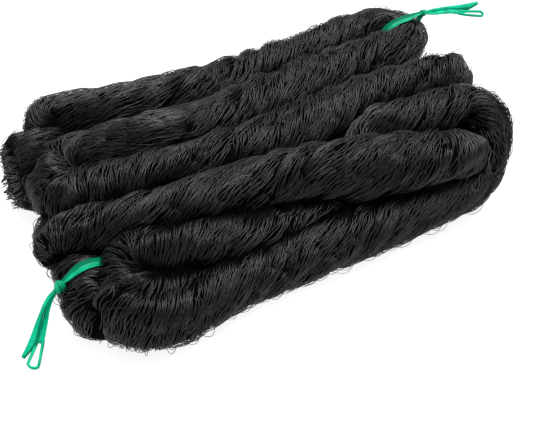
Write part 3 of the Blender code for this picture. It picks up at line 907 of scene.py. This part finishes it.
def add_knot(mesh_data, tie):
    """Drawn knot: a small lump along the ribbon with two turns of ribbon round it."""
    knot = Vector(tie.knot)
    scale = tie.knot_scale
    ahead = (Vector(tie.flat_end[0]) - knot).normalized()
    turned = ahead.to_track_quat("X", "Z").to_matrix().to_4x4()
    core = Matrix.Translation(knot) @ turned @ Matrix.Diagonal((*(half * scale for half in KNOT_CORE), 1.0))
    bmesh.ops.create_icosphere(mesh_data, subdivisions=3, radius=1.0, matrix=core)
    for turn_x, turn_z, radius, width, shift in KNOT_TURNS:
        tilt = Matrix.Rotation(math.radians(turn_x), 3, "X") @ Matrix.Rotation(math.radians(turn_z), 3, "Z")
        axis = tilt @ ahead
        side = axis.orthogonal().normalized() * radius * scale
        other = axis.cross(side)
        middle = knot + ahead * shift * scale
        points = np.array([middle + side * math.cos(angle) + other * math.sin(angle)
                           for angle in ring_angles(KNOT_STEPS)])
        widths = np.full(len(points), width * scale)
        add_loft(mesh_data, film_rings(points, axis, widths, KNOT_FOLDS, BAND_FILM)[1:-1], closed=True)


def width_way(points):
    """Unit vector across a free end, in the plane of the ribbon."""
    ahead = Vector(points[-1] - points[0]).normalized()
    wide = Vector(END_LEAN)
    return np.array((wide - ahead * wide.dot(ahead)).normalized())


def add_flat_end(mesh_data, tie):
    """Free end of the ribbon: gathered at the knot, opening outwards, creased, cut off at a slant."""
    points = path_through([tie.knot] + tie.flat_end, RIBBON_STEP)
    share = np.linspace(0, 1, len(points))
    widths = np.interp(share, *zip(*END_WIDTHS))
    lost = np.where(share > CUT_START, max(widths) - widths, 0)
    points = points + lost[:, None] / 2 * width_way(points)
    add_loft(mesh_data, film_rings(points, END_LEAN, widths, END_FOLDS, END_FILM))


def add_bow(mesh_data, tie):
    """Ribbon from the knot to where the bow's loop springs from it."""
    middle = path_through([tie.knot] + tie.bow, RIBBON_STEP)
    share = np.linspace(0, 1, len(middle))
    points = middle[share <= RIBBON_END]
    widths = np.interp(share, *zip(*BOW_WIDTHS))
    add_loft(mesh_data, film_rings(points, END_LEAN, widths, BOW_FOLDS, END_FILM))


def add_loop(mesh_data, tie):
    """Gathered ribbon that goes out and comes back as a narrow loop with a closed tip."""
    middle = path_through([tie.knot] + tie.bow, RIBBON_STEP)
    share = np.linspace(0, 1, len(middle))
    opening = np.clip((share - LOOP_START) / (LOOP_OPEN - LOOP_START), 0, 1)
    apart = LOOP_NECK + (tie.loop_width / 2 - LOOP_NECK) * opening
    shown = share >= LOOP_START
    wide = width_way(middle)
    aside = (apart[:, None] * wide)[shown]
    ahead = Vector(middle[-1] - middle[0]).normalized()
    further, sideways = zip(*LOOP_TIP)
    tip = middle[-1] + np.outer(further, ahead) + np.outer(sideways, aside[-1])
    points = np.vstack([middle[shown] + aside, tip, (middle[shown] - aside)[::-1]])
    across = ahead.cross(Vector(wide))
    widths = np.full(len(points), LOOP_SECTION[0])
    add_loft(mesh_data, film_rings(points, across, widths, BOW_FOLDS, LOOP_SECTION[1]))


# Pieces of a ribbon. Columns: name, what adds it, material, places in a section, strips in a crease that
# get painted shade.
RIBBON_PIECES = [
    # the band and the knot take the darker copy of the film, painted shade
    ("band", add_band, "mint_ribbon", len(BAND_FOLDS), BAND_CREASES),
    ("knot", add_knot, "mint_ribbon", len(KNOT_FOLDS), ()),
    ("flat_end", add_flat_end, "mint_ribbon_end", len(END_FOLDS), END_CREASES),
    ("bow", add_bow, "mint_ribbon_end", len(BOW_FOLDS), ()),
    ("loop", add_loop, "mint_ribbon_end", len(BOW_FOLDS), ()),
]


def make_ribbon(tie, looks):
    """The pieces of one tie, each with painted shade in a darker green on its creases."""
    for part, add, look, places, creases in RIBBON_PIECES:
        mesh_data = bmesh.new()
        add(mesh_data, tie)
        for vert in mesh_data.verts:
            vert.co.z = max(vert.co.z, FLOOR_FILM)
        thing = object_from(f"{tie.name}_{part}", mesh_data)
        thing.data.materials.append(looks[look])
        # second material: painted shade on the creases
        thing.data.materials.append(looks["mint_ribbon_crease_shade"])
        paint_crease_shade(thing, places, creases)
        shade_smooth(thing)
        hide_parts(tie.node)
        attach(thing, "root")


# ------------ materials
def noise(nodes, links, place, scale, detail):
    """Output of a noise texture in the object's own space."""
    texture = nodes.new("ShaderNodeTexNoise")
    texture.inputs["Scale"].default_value = scale
    texture.inputs["Detail"].default_value = detail
    links.new(place.outputs["Object"], texture.inputs["Vector"])
    return texture.outputs["Fac"]


def grained_material(look):
    """Material whose tone changes softly between two colours, with a fine relief."""
    made = bpy.data.materials.new(look.name)
    made.use_nodes = True
    nodes, links = made.node_tree.nodes, made.node_tree.links
    shader = nodes["Principled BSDF"]
    shader.inputs["Roughness"].default_value = look.roughness
    shader.inputs["Specular IOR Level"].default_value = look.gloss
    grain = look.grain
    place = nodes.new("ShaderNodeTexCoord")
    ramp = nodes.new("ShaderNodeValToRGB")
    ends = zip(ramp.color_ramp.elements, (grain.tone_from, grain.tone_to), (look.dark, look.light))
    for end, position, colour in ends:
        end.position = position
        end.color = (*colour, 1)
    links.new(noise(nodes, links, place, grain.tone_scale, grain.tone_detail), ramp.inputs["Fac"])
    links.new(ramp.outputs["Color"], shader.inputs["Base Color"])
    bump = nodes.new("ShaderNodeBump")
    bump.inputs["Strength"].default_value = grain.strength
    bump.inputs["Distance"].default_value = grain.depth
    links.new(noise(nodes, links, place, grain.scale, grain.detail), bump.inputs["Height"])
    links.new(bump.outputs["Normal"], shader.inputs["Normal"])
    return made


def floor_material():
    """Pale floor that also glows, so that hardly any shadow falls on it."""
    made = bpy.data.materials.new("pale_floor")
    made.use_nodes = True
    shader = made.node_tree.nodes["Principled BSDF"]
    shader.inputs["Base Color"].default_value = (FLOOR_TONE, FLOOR_TONE, FLOOR_TONE, 1)
    shader.inputs["Roughness"].default_value = 0.9
    shader.inputs["Specular IOR Level"].default_value = 0.1
    shader.inputs["Emission Color"].default_value = (1, 1, 1, 1)
    shader.inputs["Emission Strength"].default_value = FLOOR_GLOW
    return made


# ------------ stage
def add_camera():
    """Camera at the photograph's angle."""
    azimuth, elevation = math.radians(CAMERA_AZIMUTH), math.radians(CAMERA_ELEVATION)
    back = Vector((math.sin(azimuth) * math.cos(elevation),
                   -math.cos(azimuth) * math.cos(elevation),
                   math.sin(elevation)))
    data = bpy.data.cameras.new("camera")
    data.sensor_width = CAMERA_SENSOR
    data.lens = CAMERA_LENS
    camera = bpy.data.objects.new("camera", data)
    camera.location = Vector(CAMERA_AIM) + back * CAMERA_DISTANCE
    camera.rotation_euler = back.to_track_quat("Z", "Y").to_euler()
    bpy.context.scene.collection.objects.link(camera)
    bpy.context.scene.camera = camera


def add_stage():
    """Pale floor, even white surroundings and one wide soft light from above."""
    mesh_data = bmesh.new()
    bmesh.ops.create_grid(mesh_data, x_segments=1, y_segments=1, size=FLOOR_HALF)
    floor = object_from("floor", mesh_data)
    floor.data.materials.append(floor_material())

    world = bpy.data.worlds.new("studio")
    world.use_nodes = True
    background = world.node_tree.nodes["Background"]
    background.inputs["Color"].default_value = (1, 1, 1, 1)
    background.inputs["Strength"].default_value = WORLD_LIGHT
    bpy.context.scene.world = world
    bpy.context.scene.view_settings.view_transform = "Standard"

    data = bpy.data.lights.new("overhead", "SUN")
    data.energy = OVERHEAD_LIGHT
    data.angle = math.radians(OVERHEAD_ANGLE)
    light = bpy.data.objects.new("overhead", data)
    light.rotation_euler = Vector(OVERHEAD_FROM).to_track_quat("Z", "Y").to_euler()
    bpy.context.scene.collection.objects.link(light)


def main():
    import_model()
    add_camera()
    add_stage()

    rope = Rope()
    body = make_body(rope)
    looks = {look.name: grained_material(look) for look in LOOKS}
    # the body gets the near-black painted shade of the gaps between strands
    # the cut end's strands get the darker twine of painted shade
    own_look = {"net_body": "net_under_shade", "net_end": "net_cut_end_shade"}
    for thing in [body] + make_strands(rope, surface_of(body)):
        thing.data.materials.clear()
        thing.data.materials.append(looks[own_look.get(thing.name, "net_twine")])
        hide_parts("netting")
        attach(thing, "root")

    for tie in TIES:
        make_ribbon(tie, looks)


main()
